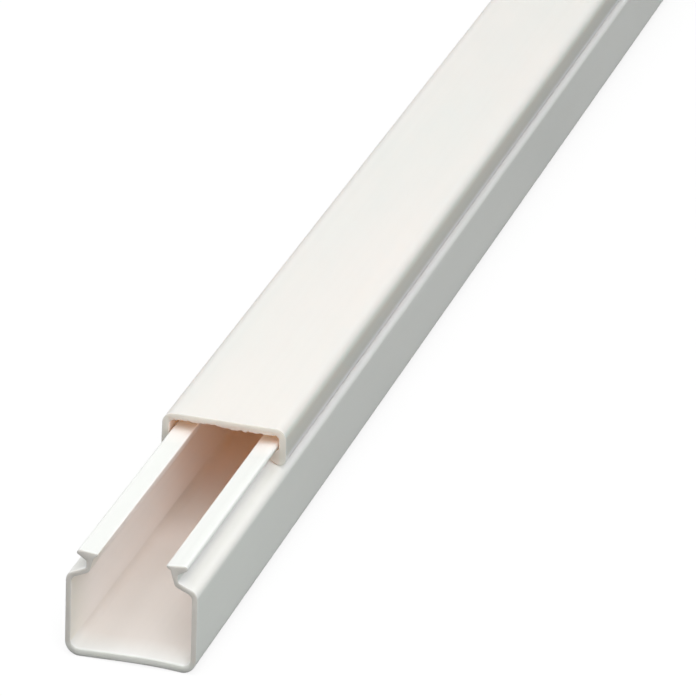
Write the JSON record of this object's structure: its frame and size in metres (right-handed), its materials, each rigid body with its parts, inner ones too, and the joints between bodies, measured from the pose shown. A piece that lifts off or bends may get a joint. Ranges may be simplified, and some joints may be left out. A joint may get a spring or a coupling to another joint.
{
  "type": "cord cover raceway",
  "caption": "Square plastic cord cover raceway: an open channel with inward shoulders and lips, and a cover lid that clips over them, slid back to show the channel.",
  "frame": {"origin": "middle of the flat back that goes against the wall, at mid length of the base channel", "axes": "+X across the channel, +Y along it towards the end that the stored lid overhangs, +Z out of the back towards the lid"},
  "size_m": [0.02, 0.444, 0.0198],
  "materials": {
    "base_plastic": "smooth extruded white PVC, satin",
    "lid_plastic": "smooth extruded white PVC, satin"
  },
  "bodies": {
    "base": {"base_channel": "base_plastic"},
    "lid": {"cover_lid": "lid_plastic"}
  },
  "joints": [
    {"name": "lid_slide", "type": "slide", "parent": "base", "child": "lid", "axis": [0, 1, 0], "range_m": [-0.044, 0.336]}
  ]
}
